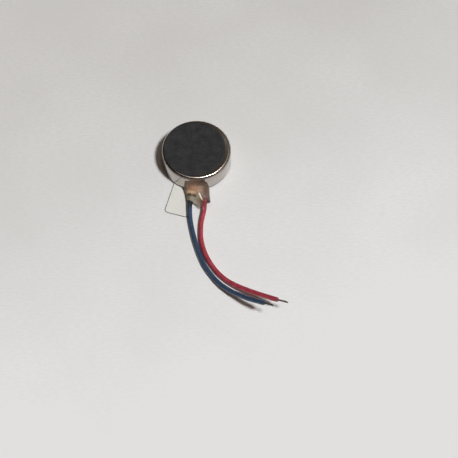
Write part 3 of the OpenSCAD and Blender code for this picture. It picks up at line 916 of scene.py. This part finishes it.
def build_tape():
    """The amber film over the terminal, with a flat lower layer under the tongue."""
    grid = film_grid(12)
    width = len(grid[0])
    verts = [p for row in grid for p in row]
    faces = [(k * width + i, k * width + i + 1, (k + 1) * width + i + 1, (k + 1) * width + i)
             for k in range(len(grid) - 1) for i in range(width - 1)]
    lower = []
    lower_rows, lower_cols = 12, 16
    for k in range(lower_rows + 1):
        t = k / lower_rows
        y = -CASE_R - 0.06 - 1.9 * t
        left, right = -1.8 + 0.42 * smooth_step(t * 1.1), 1.8 + 0.08 * t
        for i in range(lower_cols + 1):
            x = left + (right - left) * i / lower_cols
            lower.append(Vector((x, y, 0.13 + 0.01 * noise.noise(Vector((x, y, 0.5))))))
    wide = lower_cols + 1
    lower_faces = [(k * wide + i, k * wide + i + 1, (k + 1) * wide + i + 1, (k + 1) * wide + i)
                   for k in range(lower_rows) for i in range(lower_cols)]
    piece = make_piece("terminal_film", *joined((verts, faces), (lower, lower_faces)), "stator",
                       [AMBER], 60)
    shell = piece.modifiers.new("shell", "SOLIDIFY")
    shell.thickness, shell.offset = 0.04 * MM, 0.0
    apply_modifiers(piece)
    finish_mesh(piece, [AMBER], 50)
    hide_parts("terminal_tape")


# ---------------------------------------- inside the case

MAGNET_HOLE_R = 1.9
COIL_CORE_R = 0.55
BEARING_GAP = 0.02
WASHER_GAP = 0.005
WIRE_STEP = 0.075


def ring_profile(inner_r, outer_r, z0, z1, edge):
    """A ring's section as a closed profile, its four edges rounded."""
    profile = arc(outer_r - edge, z0 + edge, edge, -90, 0, 4)
    profile += arc(outer_r - edge, z1 - edge, edge, 0, 90, 4)
    profile += arc(inner_r + edge, z1 - edge, edge, 90, 180, 4)
    return profile + arc(inner_r + edge, z0 + edge, edge, 180, 270, 4)


def wound_profile(inner_r, outer_r, z0, z1):
    """A coil's section as a closed profile, with a bulge for each turn of wire along its four sides."""
    wire_r = WIRE_STEP / 2
    corners = [Vector((inner_r + wire_r, z0 + wire_r)), Vector((outer_r - wire_r, z0 + wire_r)),
               Vector((outer_r - wire_r, z1 - wire_r)), Vector((inner_r + wire_r, z1 - wire_r))]
    profile = []
    for here, there in zip(corners, corners[1:] + corners[:1]):
        turns = round((there - here).length / WIRE_STEP)
        along = (there - here) / turns
        outwards = Vector((along.y, -along.x))
        for i in range(turns):
            centre = here + along * (i + 0.5)
            for angle in (math.pi, math.pi * 2 / 3, math.pi / 3):
                profile.append(centre + along * math.cos(angle) / 2 + outwards * math.sin(angle) / 2)
    return profile


def build_ring(name, node, body, inner_r, edge, mat):
    """A turned ring with rounded edges in a CAD node's place."""
    profile = ring_profile(inner_r, size(node).x / 2, low(node).z, high(node).z, edge)
    piece = make_piece(name, *lathe(profile, 128), body, [mat])
    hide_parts(node)


def build_coil(name, node):
    """A coil of enamelled wire whose turns show."""
    centre = middle(node)
    profile = wound_profile(COIL_CORE_R, size(node).x / 2, low(node).z, high(node).z)
    place = Matrix.Translation((centre.x, centre.y, 0))
    piece = make_piece(name, *moved(lathe(profile, 72), place), "rotor", [COPPER], 75)
    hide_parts(node)


def build_shaft():
    """The ground shaft with rounded ends."""
    radius, edge = size("shaft").x / 2, 0.04
    z0, z1 = low("shaft").z, high("shaft").z
    profile = [(0.001, z0)] + arc(radius - edge, z0 + edge, edge, -90, 0, 5)
    profile += arc(radius - edge, z1 - edge, edge, 0, 90, 5) + [(0.001, z1)]
    piece = make_piece("ground_shaft", *lathe(profile, 64), "stator", [SHAFT_STEEL])
    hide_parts("shaft")


def build_chamfered(name, node, body, chamfer, mat, slot):
    """A CAD node's own shape with its sharp edges chamfered, standing for it."""
    mesh = bpy.data.meshes.new(name)
    bm = bmesh.new()
    bm.from_mesh(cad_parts[node].data)
    bmesh.ops.remove_doubles(bm, verts=bm.verts, dist=1e-7)
    bmesh.ops.dissolve_limit(bm, angle_limit=math.radians(0.5), verts=bm.verts, edges=bm.edges)
    bm.to_mesh(mesh)
    bm.free()
    piece = new_object(name, mesh)
    bevel = piece.modifiers.new("chamfer", "BEVEL")
    bevel.width, bevel.segments = chamfer * MM, 1
    bevel.limit_method, bevel.angle_limit = "ANGLE", math.radians(50)
    bevel.use_clamp_overlap = False
    apply_modifiers(piece)
    finish_mesh(piece, [mat], 35)
    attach(piece, body)
    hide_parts(node)


def lumps(node):
    """The lowest and highest corners of each separate lump of a CAD node, in millimetres."""
    bm = bmesh.new()
    bm.from_mesh(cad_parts[node].data)
    bmesh.ops.remove_doubles(bm, verts=bm.verts, dist=1e-7)
    waiting, boxes = set(bm.verts), []
    while waiting:
        reached, corners = [waiting.pop()], []
        while reached:
            vert = reached.pop()
            corners.append(vert.co / MM)
            found = {edge.other_vert(vert) for edge in vert.link_edges} & waiting
            waiting -= found
            reached += found
        boxes.append((tuple(map(min, zip(*corners))), tuple(map(max, zip(*corners)))))
    bm.free()
    return [(Vector(a), Vector(b)) for a, b in sorted(boxes)]


def build_solder_dots(name, node, body, hanging):
    """Small solder domes, a little lopsided, on a CAD node's lumps. hanging ones point down."""
    parts = []
    for index, (start, end) in enumerate(lumps(node)):
        radius, height = (end.x - start.x) / 2, end.z - start.z
        profile = [(0.0005, 0.0)] + [(radius * r, height * z) for r, z in arc(0, 0, 1, 0, 89, 9)]
        verts, faces = lathe(profile, 32)
        swollen = []
        for x, y, z in verts:
            swell = 1 - 0.06 * abs(noise.noise(Vector((x * 14 + 3 * index, y * 14, z * 14))))
            swollen.append(Vector((x * swell, y * swell, -z if hanging else z)))
        base = end.z if hanging else start.z
        place = Matrix.Translation(((start.x + end.x) / 2, (start.y + end.y) / 2, base))
        parts.append(moved((swollen, faces), place))
    piece = make_piece(name, *joined(*parts), body, [SOLDER], 60)
    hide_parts(node)


# Pieces with a CAD node's own shape: name, node, body, chamfer, material and slot.
CHAMFERED = [
    ("plate_and_tongue", "base_plate", "stator", 0.02, PLATE_STEEL, "plate_steel"),
    ("rotor_laminate", "rotor_board", "rotor", 0.02, BOARD, "board_green"),
    ("commutator_segments", "commutator", "rotor", 0.008, GOLD, "gold_pads"),
    ("tungsten_weight", "counterweight", "rotor", 0.04, TUNGSTEN, "tungsten"),
    ("resin_moulding", "rotor_resin", "rotor", 0.02, RESIN, "black_resin"),
    ("flex_film", "flex_circuit", "stator", 0.01, FLEX, "flex_film"),
    ("brush_lands", "brush_pads", "stator", 0.005, GOLD, "gold_pads"),
    ("terminal_lands", "terminal_pads", "stator", 0.005, GOLD, "gold_pads"),
]


def build_inside():
    """The pieces inside the case and on the base plate."""
    shaft_r = size("shaft").x / 2
    washer_r = shaft_r + WASHER_GAP
    build_shaft()
    build_ring("magnet_ring", "ring_magnet", "stator", MAGNET_HOLE_R, 0.05, MAGNET)
    for name, node in (("lower_thrust_ring", "lower_washer"), ("upper_thrust_ring", "upper_washer")):
        build_ring(name, node, "stator", washer_r, 0.02, WASHER)
    build_ring("bronze_bearing", "bearing_sleeve", "rotor", shaft_r + BEARING_GAP, 0.05,
               BRONZE)
    build_coil("left_winding", "left_coil")
    build_coil("right_winding", "right_coil")
    for piece in CHAMFERED:
        build_chamfered(*piece)
    build_solder_dots("brush_feet_solder", "brush_solder", "stator", False)
    build_solder_dots("coil_wire_solder", "coil_joints", "rotor", True)


# ---------------------------------------- carried-over CAD nodes

CARRIED = {"brush_left": BRUSH_METAL, "brush_right": BRUSH_METAL}


def dress_cad_nodes():
    """Gives each CAD node that stays its finished material."""
    for name, mat in CARRIED.items():
        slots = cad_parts[name].data.materials
        slots.clear()
        slots.append(mat)


# ---------------------------------------- stage

CAMERA_TARGET = Vector((4.73, -11.35, 0)) * MM
CAMERA_DISTANCE = 0.25
CAMERA_ELEVATION = math.radians(61.36)
CAMERA_LENS = 137.2
FLOOR_Z = -0.01 * MM
FLOOR_HALF = 1.5
KEY_DIRECTION = Vector((0.385, -0.3, 1)).normalized()
KEY_STRENGTH = 2.7
KEY_ANGLE = math.radians(8)
PANEL_PLACE = Vector((0.02, -0.2, 0.97)).normalized()
PANEL_SIZE_X, PANEL_SIZE_Y = 0.6, 0.3
PANEL_STRENGTH = 0.52
PANEL_COLOUR = (1.0, 0.89, 0.79)


def build_camera():
    """A camera far enough off to see the motor with little perspective."""
    back = Vector((0, -math.cos(CAMERA_ELEVATION), math.sin(CAMERA_ELEVATION)))
    data = bpy.data.cameras.new("camera")
    data.lens, data.sensor_width = CAMERA_LENS, 36
    data.clip_start, data.clip_end = 0.005, 10
    camera = new_object("camera", data)
    camera.location = CAMERA_TARGET + back * CAMERA_DISTANCE
    camera.rotation_euler = back.to_track_quat("Z", "Y").to_euler()
    scene.camera = camera


def floor_material():
    """Pale sheet with very faint clouds and fibres, painted brighter towards the near right as a pool of
    light.
    """
    mat, tree, shader = new_material("pale_sheet", Roughness=0.75, Specular_IOR_Level=0.2)
    clouds = grain(tree, coords(tree), 0.02, 3.0)
    fibres = grain(tree, stretched(tree, (1, 3, 1)), 0.0008, 4.0, 0.6)
    texture = maths(tree, "MULTIPLY", clouds, fibres)
    # Painted light: the sheet is painted brighter towards the near right side, as a pool of the lamp's light.
    near = fade(tree, reach_along(tree, (0.35, -1.0, 0.0)), -0.022, 0.05)
    tones = [(0.2, (0.63, 0.624, 0.615)), (0.6, (0.735, 0.737, 0.739)), (1.2, (0.835, 0.845, 0.852))]
    link(tree, ramp(tree, maths(tree, "ADD", texture, near), tones), shader, "Base Color")
    relief(tree, shader, fibres, 0.00001, 0.3)
    return mat


def build_floor():
    """The sheet that the motor lies on."""
    mesh = bpy.data.meshes.new("floor")
    corners = [(-1, -1), (1, -1), (1, 1), (-1, 1)]
    mesh.from_pydata([(x * FLOOR_HALF, y * FLOOR_HALF, FLOOR_Z) for x, y in corners], [], [(0, 1, 2, 3)])
    mesh.materials.append(floor_material())
    new_object("floor", mesh)


def build_lights():
    """A soft sun from the right and near side, and a warm panel overhead."""
    key = bpy.data.lights.new("key", "SUN")
    key.energy, key.angle = KEY_STRENGTH, KEY_ANGLE
    lamp = new_object("key", key)
    lamp.rotation_euler = KEY_DIRECTION.to_track_quat("Z", "Y").to_euler()

    panel = bpy.data.lights.new("panel", "AREA")
    panel.shape, panel.size, panel.size_y = "ELLIPSE", PANEL_SIZE_X, PANEL_SIZE_Y
    panel.energy, panel.color = PANEL_STRENGTH, PANEL_COLOUR
    lamp = new_object("panel", panel)
    lamp.location = PANEL_PLACE
    lamp.rotation_euler = PANEL_PLACE.to_track_quat("Z", "Y").to_euler()


def build_world():
    """Dim warm surroundings, brighter to the right and darkest at the horizon and below."""
    world = bpy.data.worlds.new("studio")
    world.use_nodes = True
    tree = world.node_tree
    around = add(tree, "SeparateXYZ", {"Vector": add(tree, "TexCoord").outputs["Generated"]}).outputs
    glow = fade(tree, around["X"], -0.3, 0.7)
    shades = [(0.0, (0.02, 0.008, 0.003)), (0.3, (0.09, 0.072, 0.052)), (1.0, (0.18, 0.158, 0.12))]
    lift = fade(tree, around["Z"], 0.05, 0.4, 0.03)
    colour = dimmed(tree, ramp(tree, glow, shades), lift)
    tree.links.new(colour, tree.nodes["Background"].inputs["Color"])
    scene.world = world


build_camera()
build_floor()
build_lights()
build_world()
dress_cad_nodes()
build_case()
build_foam()
build_adhesive()
build_liner()
build_insulation("blue_tube", BLUE_ROUTE, "blue_lead", BLUE_VINYL, 3.0)
build_insulation("red_tube", RED_ROUTE, "red_lead", RED_VINYL, 8.0)
build_strands("blue_strands", BLUE_ROUTE, "blue_conductor", 11)
build_strands("red_strands", RED_ROUTE, "red_conductor", 29)
build_solder()
build_tape()
build_inside()
